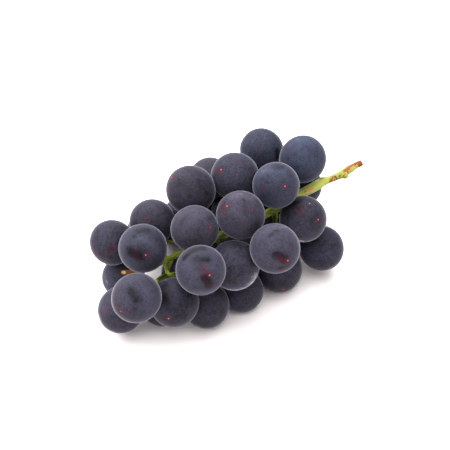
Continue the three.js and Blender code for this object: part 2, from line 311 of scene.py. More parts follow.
def make_berry_tree():
    """A ball whose points are moved in four steps: crowded, made uneven, lengthened and dotted."""
    tree, given, result = new_shape_tree("berry", BERRY)
    ball = add(tree, "GeometryNodeMeshUVSphere", {"Segments": given["Sides"], "Rings": given["Rings"]})
    position = tree.nodes.new("GeometryNodeInputPosition").outputs[0]

    start = add(tree, "ShaderNodeSeparateXYZ", {0: position})
    angle = calc(tree, "ARCCOSINE", start.outputs[2])
    crowd = calc(tree, "SINE", calc(tree, "MULTIPLY", angle, 2.0))
    crowd = calc(tree, "MULTIPLY", crowd, given["Crowding"])
    angle = calc(tree, "SUBTRACT", angle, calc(tree, "MULTIPLY", crowd, 0.5))
    flat = add(tree, "ShaderNodeCombineXYZ", {0: start.outputs[0], 1: start.outputs[1]})
    around = vector(tree, "SCALE", vector(tree, "NORMALIZE", flat.outputs[0]), calc(tree, "SINE", angle))
    upright = add(tree, "ShaderNodeCombineXYZ", {2: calc(tree, "COSINE", angle)})
    way = vector(tree, "ADD", around, upright.outputs[0])

    uneven = noise(tree, way, given["Uneven Scale"], 1.0, given["Seed"])
    lump = calc(tree, "MULTIPLY", calc(tree, "SUBTRACT", uneven, NOISE_MIDDLE), given["Unevenness"])
    off_stem = vector(tree, "LENGTH", vector(tree, "SUBTRACT", way, given["Stem Side"]))
    hollow = bell(tree, calc(tree, "MULTIPLY", off_stem, given["Radius"]), given["Stem Width"])
    lump = calc(tree, "SUBTRACT", lump, calc(tree, "MULTIPLY", hollow, given["Stem Hollow"]))
    placed = vector(tree, "SCALE", way, calc(tree, "ADD", given["Radius"], lump))

    split = add(tree, "ShaderNodeSeparateXYZ", {0: placed})
    off_axis = calc(tree, "MULTIPLY", calc(tree, "SINE", angle), given["Radius"])
    dot = calc(tree, "MULTIPLY", bell(tree, off_axis, given["Scar Width"]), given["Scar Height"])
    collar_width = calc(tree, "MULTIPLY", given["Scar Width"], COLLAR_SHARE)
    collar = calc(tree, "MULTIPLY", bell(tree, off_axis, collar_width), given["Collar Depth"])
    rise = calc(tree, "SUBTRACT", dot, collar)
    rise = calc(tree, "MULTIPLY", rise, calc(tree, "GREATER_THAN", split.outputs[2], 0.0))
    long = calc(tree, "MULTIPLY", split.outputs[2], given["Lengthening"])
    ends = {0: split.outputs[0], 1: split.outputs[1], 2: calc(tree, "ADD", long, rise)}
    shaped = add(tree, "ShaderNodeCombineXYZ", ends).outputs[0]

    moved = add(tree, "GeometryNodeSetPosition", {"Geometry": ball.outputs[0], "Position": shaped})
    smooth = add(tree, "GeometryNodeSetShadeSmooth", {"Geometry": moved.outputs[0]})
    finish_tree(tree, smooth.outputs[0], given["Material"], result)
    return tree


berry_tree = make_berry_tree()
print("berry tree:", len(berry_tree.nodes), "nodes")

# %% [markdown]
# Where two berries touch, both give way and meet on a small round flat. The flat lies where two balls
# would cut each other, and its edge is rounded, because the skin is a stretched bag and never folds
# there. The table and the solids' own box do the same to a berry that reaches them. Pressing in code,
# point by point, is the simplest way, because every berry has other neighbours.
# %% Press the berries against each other
TOUCH = 0.02 * MM
ROUNDING = 0.5 * MM
RUB_REACH = 0.9 * MM
WALL_SEARCH = 1.1
LEAST_LEAN = 1e-4


def walls_of(berry):
    """Each flat that the berry may meet: the way to it, and how far off it is."""
    walls = []
    for other in berries.values():
        if other is not berry:
            apart = other["middle"] - berry["middle"]
            far = np.linalg.norm(apart)
            reach = (far ** 2 + berry["radius"] ** 2 - other["radius"] ** 2) / (2 * far)
            walls.append((apart / far, reach - TOUCH))
    for axis in range(3):
        for corner, sign in zip(solid_box, (-1, 1)):
            outward = np.zeros(3)
            outward[axis] = sign
            walls.append((outward, (corner[axis] - berry["middle"][axis]) * sign))
    return [wall for wall in walls if wall[1] < berry["radius"] * WALL_SEARCH]


def soft_least(a, b, rounding):
    """The lesser of two numbers, with the corner between them rounded off."""
    share = np.clip(0.5 + (b - a) / (2 * rounding), 0, 1)
    return a * share + b * (1 - share) - rounding * share * (1 - share)


def press(place, berry):
    """Moves points in to the walls, and says how much each was rubbed by them."""
    far = np.linalg.norm(place, axis=1)
    way = place / far[:, None]
    rubbed = np.zeros(len(place))
    pressed = far.copy()
    for normal, reach in walls_of(berry):
        wall = reach / np.maximum(way @ normal, LEAST_LEAN)
        pressed = soft_least(pressed, wall, ROUNDING)
        rubbed = np.maximum(rubbed, np.clip(1 - (wall - far) / RUB_REACH, 0, 1))
    return way * pressed[:, None], rubbed


print("flats on the first berry:", len(walls_of(berries["berry_01"])))

# %% [markdown]
# Handling wipes the bloom off in places and leaves dark smudges, and three of the dark strokes are
# painted shadow where a neighbour shades a berry. Thin red patches show where the skin is paler. Some
# places are dusty with thick bloom, and on the low sides of berries 13 and 15 the pale dust is a painted
# glow thrown up by the white floor. Each is a short stroke, listed by berry, by the pixels where the
# photograph shows its two ends, by its width in millimetres and by its strength. A spot is a small round
# mark with a red ring, listed by its pixel and by how pale its middle is.
# %% Smudges and painted shadows, red patches, dust and painted glow, spots
SMUDGES_AND_PAINTED_SHADOWS = [
    ("berry_12", (185, 257), (192, 251), 2.1, 1.1), ("berry_12", (192, 251), (203, 248), 2.4, 1.25),
    ("berry_12", (196, 259), (208, 259), 2.6, 0.78), ("berry_12", (206, 278), (209, 285), 2.8, 1.15),
    ("berry_12", (216, 284), (216, 284), 1.0, 0.68), ("berry_12", (182, 284), (182, 284), 0.8, 0.68),
    ("berry_14", (277, 255), (285, 259), 3.0, 1.05), ("berry_14", (269, 236), (277, 231), 2.0, 0.62),
    ("berry_14", (280, 268), (284, 269), 1.8, 0.95), ("berry_14", (272, 268), (272, 268), 0.8, 0.8),
    ("berry_11", (134, 236), (139, 231), 2.2, 0.5), ("berry_11", (138, 231), (147, 230), 2.8, 0.95),
    ("berry_11", (131, 251), (139, 256), 3.0, 1.15), ("berry_11", (137, 249), (142, 252), 2.4, 0.59),
    ("berry_17", (131, 291), (137, 299), 3.0, 0.78), ("berry_17", (137, 299), (133, 312), 2.7, 0.5),
    ("berry_17", (126, 317), (133, 317), 1.5, 0.51), ("berry_17", (141, 288), (147, 284), 1.5, 0.26),
    ("berry_08", (181, 223), (186, 216), 2.4, 0.48), ("berry_08", (209, 219), (214, 215), 2.2, 0.6),
    ("berry_08", (196, 240), (204, 236), 2.4, 0.3), ("berry_07", (243, 200), (246, 214), 2.2, 0.5),
    ("berry_07", (226, 200), (223, 207), 1.5, 0.51), ("berry_07", (236, 224), (248, 221), 2.4, 0.3),
    ("berry_06", (184, 168), (190, 171), 1.7, 0.64), ("berry_06", (180, 182), (186, 187), 3.9, 0.47),
    ("berry_09", (141, 214), (150, 221), 2.7, 0.34), ("berry_10", (108, 250), (112, 248), 1.8, 0.59),
    ("berry_10", (110, 257), (111, 257), 1.0, 0.72), ("berry_10", (94, 247), (94, 247), 0.8, 0.68),
    # The berry_15 stroke from (294, 203) is painted shade in the dark recess where berry_03 meets it.
    ("berry_16", (333, 250), (337, 254), 2.1, 0.34), ("berry_15", (294, 203), (299, 201), 2.2, 1.1),
    ("berry_15", (311, 220), (316, 214), 2.4, 0.42), ("berry_03", (268, 194), (277, 190), 4.2, 0.34),
    # The berry_19 stroke from (164, 287) is painted shadow in the dark gap beside berry_17.
    ("berry_03", (275, 173), (281, 176), 1.8, 0.34), ("berry_19", (164, 287), (166, 299), 3.4, 0.85),
    ("berry_19", (180, 288), (187, 300), 2.7, 0.34), ("berry_01", (258, 158), (268, 160), 4.8, 0.34),
    # The berry_01 stroke from (277.5, 151) is painted shadow in the dark gap beside berry_02.
    ("berry_01", (277.5, 151), (278, 156), 2.2, 1.2), ("berry_04", (219, 172), (223, 186), 2.2, 0.34),
    ("berry_02", (288, 152), (292, 168), 2.4, 0.26), ("berry_18", (103, 305), (110, 318), 3.0, 0.26),
]
FLUSHES = [
    ("berry_14", (279, 257), (288, 263), 1.5, 0.75), ("berry_14", (281, 269), (285, 269), 1.2, 0.8),
    ("berry_12", (203, 272), (207, 273), 1.8, 0.9), ("berry_12", (204, 266), (207, 266), 0.9, 0.7),
    ("berry_12", (203, 282), (212, 287), 1.6, 0.25), ("berry_11", (134, 248), (138, 258), 1.4, 0.45),
    ("berry_11", (150, 250), (151, 257), 1.1, 0.5), ("berry_15", (297, 208), (303, 213), 2.2, 0.6),
    ("berry_09", (145, 218), (149, 219), 1.2, 0.6), ("berry_10", (107, 251), (114, 247), 1.8, 0.6),
    ("berry_10", (94, 250), (98, 257), 1.9, 0.5), ("berry_06", (173, 172), (174, 178), 1.2, 0.9),
    ("berry_18", (101, 315), (104, 312), 1.5, 0.6), ("berry_18", (108, 307), (110, 310), 1.2, 0.5),
    ("berry_07", (223, 200), (224, 212), 1.5, 0.7), ("berry_07", (249, 208), (251, 209), 0.8, 0.8),
    ("berry_17", (116, 291), (115, 304), 1.6, 0.55), ("berry_17", (120, 306), (124, 312), 1.2, 0.5),
    ("berry_04", (217, 170), (222, 176), 1.6, 0.6), ("berry_08", (172, 231), (173, 238), 1.4, 0.6),
    ("berry_22", (268, 290), (279, 291), 1.5, 0.7), ("berry_15", (318, 219), (323, 222), 1.2, 0.7),
    ("berry_05", (206, 197), (212, 198), 1.4, 0.4), ("berry_21", (243, 283), (247, 284), 1.4, 0.3),
]
DUSTY_AND_PAINTED_GLOW = [
    # The berry_13 strokes and the low berry_15 stroke are painted glow, the light thrown up by the white
    # floor.
    ("berry_13", (228, 294), (246, 288), 6.5, 1.25), ("berry_13", (246, 288), (255, 277), 5.5, 1.1),
    ("berry_08", (186, 216), (203, 213), 4.0, 0.22), ("berry_14", (260, 232), (283, 227), 3.6, 0.3),
    ("berry_07", (234, 196), (251, 198), 2.6, 0.35), ("berry_12", (187, 268), (196, 276), 3.4, 0.15),
    ("berry_12", (196, 292), (210, 291), 1.8, 0.45), ("berry_03", (262, 172), (284, 173), 2.6, 0.35),
    ("berry_11", (148, 240), (156, 250), 2.4, 0.35), ("berry_11", (139, 239), (145, 240), 1.6, 0.3),
    ("berry_15", (300, 241), (318, 237), 3.2, 0.95), ("berry_17", (144, 287), (149, 296), 3.0, 0.18),
    ("berry_17", (126, 281), (138, 277), 2.4, 0.25), ("berry_02", (293, 142), (310, 142), 3.2, 0.15),
    ("berry_23", (105, 276), (107, 284), 2.0, 0.4), ("berry_05", (226, 160), (244, 158), 2.2, 0.35),
    ("berry_18", (101, 300), (104, 310), 2.2, 0.3), ("berry_22", (276, 275), (288, 270), 2.6, 0.3),
]
SPOTS = {
    "berry_03": ((259, 193), 0.0), "berry_04": ((237, 174.3), 0.2), "berry_12": ((215, 284.5), 0.0),
    "berry_15": ((309.5, 203.7), 0.8), "berry_17": ((129, 309.4), 0.1), "berry_19": ((166, 280), 0.7),
    "berry_09": ((147, 218.5), 0.0), "berry_07": ((250, 208.5), 0.0),
}
print("listed:", len(SMUDGES_AND_PAINTED_SHADOWS), "smudges,", len(FLUSHES), "red patches,", len(DUSTY_AND_PAINTED_GLOW), "dusty patches")

# %% [markdown]
# A line from the camera through each pixel finds the ends of a stroke on the ball. The mark is kept on
# the points of the berry, so it has the size and the bend of the real one. Each point takes the strength
# of the stroke that covers it best, so that strokes which cross don't add up. The far sides get strokes
# where chance puts them, and one fixed seed makes that chance the same each time.
# %% Set the marks on a berry
CHANCE_SEED = 7
CHANCE_LENGTH = 0.15
CHANCE_STRENGTHS = (0.5, 1)
LEAST_LENGTH = 1e-12
luck = np.random.default_rng(CHANCE_SEED)


def spot_on(berry, pixel):
    """Where the line of sight through a pixel first meets a berry."""
    way = np.array(sight(pixel))
    eye = np.array(camera.location)
    along = (berry["middle"] - eye) @ way
    off = np.linalg.norm(eye + way * along - berry["middle"])
    return eye + way * (along - math.sqrt(max(berry["radius"] ** 2 - off ** 2, 0)))


def stroke(place, start, end, width):
    """One on the straight line between two spots, falling softly to nothing past the width."""
    along = end - start
    share = np.clip((place - start) @ along / max(along @ along, LEAST_LENGTH), 0, 1)
    off = np.linalg.norm(place - start - share[:, None] * along, axis=1)
    return np.exp(-(off / width) ** 2)


def patches(name, place, listed):
    """How strongly the listed strokes mark each point of a berry."""
    berry = berries[name]
    mark = np.zeros(len(place))
    for owner, start, end, width, strength in listed:
        if owner == name:
            line = stroke(place, spot_on(berry, start), spot_on(berry, end), width * MM)
            mark = np.maximum(mark, strength * line)
    return mark


def chance_patches(berry, place, count, widths, strength):
    """Strokes in places that nobody chose."""
    mark = np.zeros(len(place))
    for _ in range(count):
        first = unit(luck.normal(size=3))
        second = unit(first + luck.normal(size=3) * CHANCE_LENGTH)
        ends = [berry["middle"] + way * berry["radius"] for way in (first, second)]
        line = stroke(place, *ends, luck.uniform(*widths) * MM)
        mark = np.maximum(mark, luck.uniform(*CHANCE_STRENGTHS) * strength * line)
    return mark


owner, start = SMUDGES_AND_PAINTED_SHADOWS[0][:2]
print("the first smudge is on", owner, "from, in mm:", (spot_on(berries[owner], start) / MM).round(1))

# %% [markdown]
# The skin itself is nearly black. What shows is its bloom, a powdery wax that scatters light: it hides
# the skin where it is thick and makes the rims pale. So the finish mixes a dark skin and a pale matt
# powder by how thick the powder is, with a sheen for the pale rims and hardly any gloss. Thickness comes
# from three sizes of noise, less the smudges, whose edges the same noise makes ragged. A few of those
# dark strokes are painted shadow. Where the powder lies thickest it is paler, and there it also carries
# the painted glow from the floor. The dry dot is tan with a ring of red skin, and the powder's own grains
# are in the bump. A swing below says how far a noise moves the powder or an edge. An edge says where a
# soft change starts and ends, and two more numbers say what it changes from and to.
# %% The grape skin
SKIN = (0.0045, 0.0038, 0.0058, 1)
POWDER_VIOLET = (0.042, 0.0375, 0.0545, 1)
POWDER_BLUE = (0.0315, 0.0385, 0.065, 1)
# Pale thick bloom. The same colour is the painted floor glow on berries 13 and 15.
THICK_DUST_AND_GLOW = (0.27, 0.25, 0.275, 1)
RED_SKIN = (0.075, 0.008, 0.022, 1)
TAN = (0.26, 0.135, 0.125, 1)
SHEEN_TINT = (0.84, 0.84, 1.0, 1)

CLOUD = {"scale": 0.09, "detail": 3.0}
MOTTLE = {"scale": 0.42, "detail": 5.0, "rough": 0.65}
GRAIN = {"scale": 1.6, "detail": 3.0, "seed": 5.0, "rough": 0.7}
WOBBLE = {"scale": 0.9, "detail": 3.0, "seed": 9.0}
CLOUD_SWING = 0.45
MOTTLE_SWING = 0.7
GRAIN_SWING = 0.9
EDGE_SWING = 1.1
RING_SWING = 1.6
SPOT_RING_SHARE = 0.4
DOT_SHARE = 0.1

THICK_EDGE = (1.05, 1.85)
RUB_EDGE = (0.1, 1.0)
RUBBED_OFF = 0.92
RING_EDGE = (0.6, 2.4)
SPOT_RING_EDGE = (0.4, 1.2)
DOT_EDGE = (0.32, 0.56)
SPOT_EDGE = (0.35, 0.6)
FAINT_EDGE = (0.0, 0.5)
PATCHY_EDGE = (0.35, 0.6, 0.2, 1.2)
SPOT_RING_RED = 0.8
RED_SHARE = 0.55
ROUGHNESS_EDGE = (0.1, 0.8, 0.42, 0.7)
MOTTLE_RELIEF = 0.6
GRAIN_RELIEF = 0.4


def new_material(name):
    """An empty finish, its tree, and the inputs of its surface."""
    material = bpy.data.materials.new(name)
    material.use_nodes = True
    tree = material.node_tree
    return material, tree, tree.nodes["Principled BSDF"].inputs


def mix(tree, share, first, second):
    """A colour between two others, by the share of the second."""
    node = add(tree, "ShaderNodeMix", data_type="RGBA")
    feed(tree, node.inputs[0], share)
    feed(tree, node.inputs[6], first)
    feed(tree, node.inputs[7], second)
    return node.outputs[2]


def stored(tree, name, output="Fac"):
    """What was kept on the points of the mesh under a name."""
    return add(tree, "ShaderNodeAttribute", attribute_name=name).outputs[output]


def place_in_mm(tree):
    """Where a point of the surface is, in millimetres."""
    place = tree.nodes.new("ShaderNodeTexCoord").outputs["Object"]
    return vector(tree, "SCALE", place, 1 / MM)


def swing(tree, wave, height):
    """Turns noise round one half into a change of up to a height either way."""
    return calc(tree, "MULTIPLY_ADD", wave, 2 * height, -height)


def make_grape_skin():
    """Dark skin, powdery bloom, red patches and dry dots in one finish."""
    material, tree, shader = new_material("grape_skin")
    place = place_in_mm(tree)
    cloud = noise(tree, place, **CLOUD)
    mottle = noise(tree, place, **MOTTLE)
    grain = noise(tree, place, **GRAIN)
    # The stored powder also holds the painted floor glow of the dusty strokes.
    powder = calc(tree, "ADD", stored(tree, "powder"), swing(tree, cloud, CLOUD_SWING))
    powder = calc(tree, "ADD", powder, swing(tree, mottle, MOTTLE_SWING))
    # Thick bloom is paler. The same pale colour is the painted floor glow where the dusty strokes raise the
    # powder.
    thick_and_glow = ramp(tree, powder, *THICK_EDGE)
    powder = calc(tree, "ADD", powder, swing(tree, grain, GRAIN_SWING))
    # The rub mask also takes the painted shadow strokes, which wipe the powder off down to dark skin.
    ragged = calc(tree, "ADD", stored(tree, "rub_and_shadow"), swing(tree, mottle, EDGE_SWING))
    rub_and_shadow = calc(tree, "MULTIPLY", ramp(tree, ragged, *RUB_EDGE), RUBBED_OFF)
    powder = calc(tree, "MULTIPLY", powder, calc(tree, "SUBTRACT", 1.0, rub_and_shadow))

    off_dot = vector(tree, "LENGTH", stored(tree, "from_scar", "Vector"))
    off_spot = vector(tree, "LENGTH", stored(tree, "from_spot", "Vector"))
    wobble = swing(tree, noise(tree, place, **WOBBLE), RING_SWING)
    ring = ramp(tree, calc(tree, "ADD", off_dot, wobble), *RING_EDGE, 1.0, 0.0)
    ring = calc(tree, "MULTIPLY", ring, ramp(tree, stored(tree, "dot_pale"), *FAINT_EDGE))
    off_ring = calc(tree, "ADD", off_spot, calc(tree, "MULTIPLY", wobble, SPOT_RING_SHARE))
    spot_ring = ramp(tree, off_ring, *SPOT_RING_EDGE, SPOT_RING_RED, 0.0)
    patchy = calc(tree, "MULTIPLY", stored(tree, "flush"), ramp(tree, mottle, *PATCHY_EDGE))
    red = calc(tree, "MAXIMUM", calc(tree, "MAXIMUM", ring, spot_ring), patchy)
    red = calc(tree, "MULTIPLY", red, RED_SHARE)
    off_edge = calc(tree, "ADD", off_dot, calc(tree, "MULTIPLY", wobble, DOT_SHARE))
    dot = calc(tree, "MULTIPLY", ramp(tree, off_edge, *DOT_EDGE, 1.0, 0.0), stored(tree, "dot_pale"))
    spot = calc(tree, "MULTIPLY", ramp(tree, off_spot, *SPOT_EDGE, 1.0, 0.0), stored(tree, "spot_pale"))
    pale = calc(tree, "MAXIMUM", dot, spot)

    dust_and_glow_colour = mix(tree, stored(tree, "blueness"), POWDER_VIOLET, POWDER_BLUE)
    dust_and_glow_colour = mix(tree, thick_and_glow, dust_and_glow_colour, THICK_DUST_AND_GLOW)
    colour = mix(tree, powder, SKIN, dust_and_glow_colour)
    colour = mix(tree, red, colour, RED_SKIN)
    colour = mix(tree, pale, colour, TAN)
    feed(tree, shader["Base Color"], colour)
    feed(tree, shader["Roughness"], ramp(tree, powder, *ROUGHNESS_EDGE))
    shader["Specular IOR Level"].default_value = 0.05
    shader["Sheen Weight"].default_value = 0.4
    shader["Sheen Roughness"].default_value = 0.28
    shader["Sheen Tint"].default_value = SHEEN_TINT
    relief = calc(tree, "MULTIPLY", grain, GRAIN_RELIEF)
    relief = calc(tree, "MULTIPLY_ADD", mottle, MOTTLE_RELIEF, relief)
    bump = add(tree, "ShaderNodeBump", {"Height": relief, "Strength": 0.4, "Distance": 0.12 * MM})
    feed(tree, shader["Normal"], bump.outputs[0])
    return material


grape_skin = make_grape_skin()
print("grape skin:", len(grape_skin.node_tree.nodes), "nodes")

# %% [markdown]
# Now each berry is grown from the tree, turned so that its pole is the dry dot, pressed, and marked. Its
# numbers for the finish are kept on its points: how thick its powder is, how blue, where it is rubbed,
# where shadow is painted, where it is red, where it is dusty, where floor glow is painted, and how far off
# its dot and its spot are. A berry that shows has its own powder and colour, and the others get theirs
# from the same seeded draw.
# %% Grow the berries
THICK_POWDER = {
    "berry_01": 0.62, "berry_02": 0.80, "berry_03": 0.70, "berry_06": 0.52, "berry_07": 0.70,
    "berry_08": 0.72, "berry_09": 0.50, "berry_10": 0.48, "berry_12": 0.72, "berry_13": 0.50,
    "berry_14": 0.78, "berry_15": 0.50, "berry_16": 0.50, "berry_17": 0.68, "berry_19": 0.36,
    "berry_20": 0.46, "berry_21": 0.54, "berry_22": 0.45, "berry_23": 0.72, "berry_25": 0.45,
    "berry_26": 0.45,
}
BLUE = {"berry_01": 0.65, "berry_02": 0.8, "berry_03": 0.6, "berry_24": 0.6, "berry_16": 0.4}
FAINT_DOTS = {
    "berry_02": 0.05, "berry_09": 0.05, "berry_13": 0.05, "berry_08": 0.35, "berry_17": 0.35,
    "berry_06": 0.6,
}
OTHER_POWDER = (0.52, 0.66)
OTHER_BLUE = (0.0, 0.35)
PLAIN_DOT = 0.9
SEED_STEP = 3.7
PRESSED_RUB = 0.7
CHANCE_SMUDGES = {"widths": (0.8, 2.4), "strength": 0.7}
CHANCE_FLUSHES = {"widths": (0.7, 1.6), "strength": 0.5}
MORE_SMUDGES = 1
HIDDEN_SMUDGES = 5
FLUSH_COUNT = 2
NOWHERE = np.array((0, 0, 1.0))


def mark_berry(mesh, name, own, place, rubbed):
    """Keeps on a berry's points all that its finish reads. A missing spot lies far off the berry."""
    berry = berries[name]
    tip = np.array((0, 0, berry["radius"] * LENGTHENING))
    pixel, pale = SPOTS.get(name, (None, 0.0))
    spot = spot_on(berry, pixel) if pixel else berry["middle"] + NOWHERE
    count = MORE_SMUDGES if any(name == listed[0] for listed in SMUDGES_AND_PAINTED_SHADOWS) else HIDDEN_SMUDGES
    chance_smudges = chance_patches(berry, place, count, **CHANCE_SMUDGES)
    chance_flushes = chance_patches(berry, place, FLUSH_COUNT, **CHANCE_FLUSHES)
    smudged_and_shadowed = np.maximum(patches(name, place, SMUDGES_AND_PAINTED_SHADOWS), chance_smudges)
    flushed = np.maximum(patches(name, place, FLUSHES), chance_flushes)
    # Painted shadow strokes go in with the smudges and the pressed rubbing.
    keep(mesh, "rub_and_shadow", np.maximum(PRESSED_RUB * rubbed, smudged_and_shadowed))
    keep(mesh, "flush", flushed)
    keep(mesh, "from_scar", (own - tip) / MM)
    keep(mesh, "from_spot", (place - spot) / MM)
    same = np.ones(len(place))
    # Thick bloom, and painted floor glow on the low sides of berries 13 and 15. Both add to the powder.
    dusty_and_glow = patches(name, place, DUSTY_AND_PAINTED_GLOW)
    keep(mesh, "spot_pale", same * pale)
    keep(mesh, "dot_pale", same * FAINT_DOTS.get(name, PLAIN_DOT))
    keep(mesh, "powder", dusty_and_glow + THICK_POWDER.get(name, luck.uniform(*OTHER_POWDER)))
    keep(mesh, "blueness", same * BLUE.get(name, luck.uniform(*OTHER_BLUE)))


def grow_berry(name, number):
    """One finished berry in place of its solid."""
    berry = berries[name]
    turn = Vector((0, 0, 1)).rotation_difference(Vector(berry["scar"])).to_matrix()
    stem_side = turn.transposed() @ Vector(berry["stem"])
    sizes = {"Radius": berry["radius"], "Seed": SEED_STEP * number, "Stem Side": tuple(stem_side)}
    inputs = {**BERRY, **sizes, "Material": grape_skin}
    piece = grow(f"grape_{name.removeprefix(BERRY_PREFIX)}", berry_tree, inputs)
    own = read_points(piece.data)
    pressed, rubbed = press(own @ np.array(turn).T, berry)
    place = pressed + berry["middle"]
    write_points(piece.data, place)
    mark_berry(piece.data, name, own, place, rubbed)
    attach(piece, "root")
    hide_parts(name)
    return piece


grapes = [grow_berry(name, number) for number, name in enumerate(berry_names)]
print("grapes:", len(grapes), "of", len(grapes[0].data.polygons), "faces each")

# %% [markdown]
# The stalk is one living piece: a main stem, its side branches, and a short stalklet to each berry with a
# flared end that grips the skin. A copy of the solid is rebuilt on a fine even grid, which melts the
# joins together as growth does, and then smoothed in a way that doesn't thin it. The flared ends first
# reach in to the berries.
# %% Copy and smooth the stalk
GRID = 0.36 * MM
SMOOTHING = 14
GRIP = 0.75 * MM
WELD = 0.01 * MM
DRAW_IN = 0.5
PUSH_BACK = -0.53


def smooth_points(place, edges, rounds):
    """Draws points to their neighbours and pushes them back each round, so that stems keep their width."""
    first, second = edges.T
    count = np.bincount(edges.ravel(), minlength=len(place))
    for _ in range(rounds):
        for share in (DRAW_IN, PUSH_BACK):
            near = np.empty_like(place)
            for axis in range(3):
                near[:, axis] = np.bincount(first, place[second, axis], len(place))
                near[:, axis] += np.bincount(second, place[first, axis], len(place))
            place = place + share * (near / count[:, None] - place)
    return place


def copy_stalk():
    """The stalk's own solid, reaching in to the berries and rebuilt as one even skin."""
    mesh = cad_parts["stalk"].data.copy()
    place = read_points(mesh)
    for berry in berries.values():
        off = place - berry["middle"]
        far = np.linalg.norm(off, axis=1)
        cap = far < berry["radius"] * LENGTHENING + CAP_REACH
        place[cap] -= off[cap] / far[cap][:, None] * GRIP
    write_points(mesh, place)
    piece = bpy.data.objects.new("stem", mesh)
    bpy.context.scene.collection.objects.link(piece)
    weld = piece.modifiers.new("weld", "WELD")
    weld.merge_threshold = WELD
    rebuild = piece.modifiers.new("rebuild", "REMESH")
    rebuild.mode = "VOXEL"
    rebuild.voxel_size = GRID
    return make_plain(piece)


def edges_of(mesh):
    """The two ends of every edge of a mesh, as rows of two numbers."""
    edges = np.empty(len(mesh.edges) * 2, np.int32)
    mesh.edges.foreach_get("vertices", edges)
    return edges.reshape(-1, 2)


stem = copy_stalk()
stem_place = smooth_points(read_points(stem.data), edges_of(stem.data), SMOOTHING)
write_points(stem.data, stem_place)
print("stem:", len(stem.data.polygons), "faces")

# %% [markdown]
# A stem that was cut some days ago is dry and red-brown at its cut end and at its thin far tip. It
# carries brown scars where small side stems fell off, cream patches where the bark has lifted and dark
# bruises. In places along its bare length a paler lime is painted light where the berries above shade it,
# and where it runs under the berries it is painted a darker green, near black in places, for shade. Each
# mark is a stroke from one pixel of the photograph to another, with a width in millimetres and a
# strength. Knobs are strokes too, with a height in millimetres: two are what is left of side stems, and
# one thickens the far tip.
# %% What marks the stem
KNOBS = [
    ((344.8, 176.4), (346, 175.6), 1.5, 1.7), ((320.5, 178.6), (323, 178), 0.9, 0.7),
    ((123, 272.6), (125, 272.4), 1.6, 0.5),
]
PINK_SCARS = [((308, 191.6), (310.6, 189.9), 1.35, 1.0), ((312.4, 188.9), (313, 188.6), 0.75, 0.9)]
SCARS = [
    ((329.8, 182.4), (330.4, 180), 0.65, 1.0), ((330.2, 182.2), (337, 180.2), 0.6, 1.0),
    ((332, 181), (332.6, 176.8), 0.55, 1.0), ((334.4, 181), (334.6, 176.4), 0.6, 1.0),
    ((336.8, 179.6), (335.8, 177), 0.5, 0.9), ((344.8, 170.6), (348.5, 168), 1.3, 1.0),
    ((348, 167.2), (354, 163.6), 1.35, 1.0), ((354, 163.4), (357.4, 162.8), 0.8, 1.0),
    ((347.2, 170), (347.8, 173), 0.6, 0.9), ((343.4, 176), (345, 174.2), 0.9, 0.6),
    ((355, 167), (357, 166), 0.6, 0.6), ((269, 213.5), (272, 213), 0.6, 0.8),
    ((341, 177.4), (338, 179), 0.4, 0.6),
]
DARK_SPOTS = [
    ((335.1, 176.6), (337, 178.8), 0.42, 0.9), ((339, 176.6), (340, 175.4), 0.45, 0.85),
    ((355.2, 165), (356.2, 163.8), 0.55, 0.8), ((304.6, 192.3), (305.8, 191.2), 0.4, 0.6),
    ((346.8, 169), (347.5, 168), 0.3, 0.5), ((331.4, 182), (331.4, 178.5), 0.3, 0.8),
    ((342, 177.8), (345, 177.4), 0.4, 0.5), ((358.6, 166), (359.4, 162.6), 0.25, 0.6),
]
PALE_SPOTS = [
    ((336.6, 174.6), (338.2, 177), 0.5, 0.75), ((342.4, 176), (342.8, 173.8), 0.4, 0.7),
    ((351.8, 169.8), (355, 167.4), 0.6, 0.8), ((303, 195), (309, 194.6), 0.5, 0.5),
    ((357, 163.9), (357.3, 163.7), 0.15, 0.7), ((123.6, 272.2), (124.8, 273), 0.8, 1.3),
]
GREEN_SPOTS = [
    ((299, 193), (304, 192), 1.2, 0.25), ((320, 178.4), (323, 177.8), 0.6, 0.8),
    ((344, 177.4), (346.5, 177), 0.6, 0.8),
]
# Painted shade: near-black strokes on the stalklets that lie in deep shadow among the berries.
PAINTED_SHADE_SPOTS = [
    ((158.5, 279), (166, 274.5), 1.6, 1.0), ((166, 274.5), (176, 273), 1.6, 1.0),
    ((168, 264), (169, 270), 1.3, 0.8), ((274.7, 216.5), (274.7, 222), 1.6, 1.0),
    ((218, 246), (221, 240), 2.4, 1.0), ((221, 238), (226, 232), 2.0, 0.8),
]
# Painted light: a paler lime laid where the berries above shade the bare stem.
PAINTED_LIGHT_SPOTS = [
    ((299, 194.5), (308, 191), 2.2, 0.8), ((308, 191), (327, 180), 2.6, 1.0),
    ((306, 188), (318, 181), 1.6, 1.0),
]
STEM_MARKS = {
    "scarred": SCARS, "dark": DARK_SPOTS, "pale": PALE_SPOTS, "green": GREEN_SPOTS, "pink": PINK_SCARS,
    "painted_light": PAINTED_LIGHT_SPOTS, "painted_shade": PAINTED_SHADE_SPOTS,
}
print("marks on the stem:", sum(len(listed) for listed in STEM_MARKS.values()), "and", len(KNOBS), "knobs")

# %% [markdown]
# A search tree over the stem's faces finds where a line of sight meets it. The knobs are raised first and
# the tree is made again, so that the marks lie on the knobs too. The cut end is dry past a line across
# the stem, and the far tip is dry all round.
# %% Mark the stem
DRY_FROM = (357.3, 164.5)
KNUCKLE = (343, 174)
TIP_PIXEL = (124, 272.5)
DRY_EDGE = 1.2 * MM
DRY_TIP = 8 * MM
TIP_DRYNESS = 1.3
OUTSIDE_LENGTH = 38 * MM
OUTSIDE_FADE = 10 * MM


def search_tree():
    """A tree over the faces of the stem as its points lie now."""
    faces = [tuple(face.vertices) for face in stem.data.polygons]
    return BVHTree.FromPolygons(stem_place.tolist(), faces)


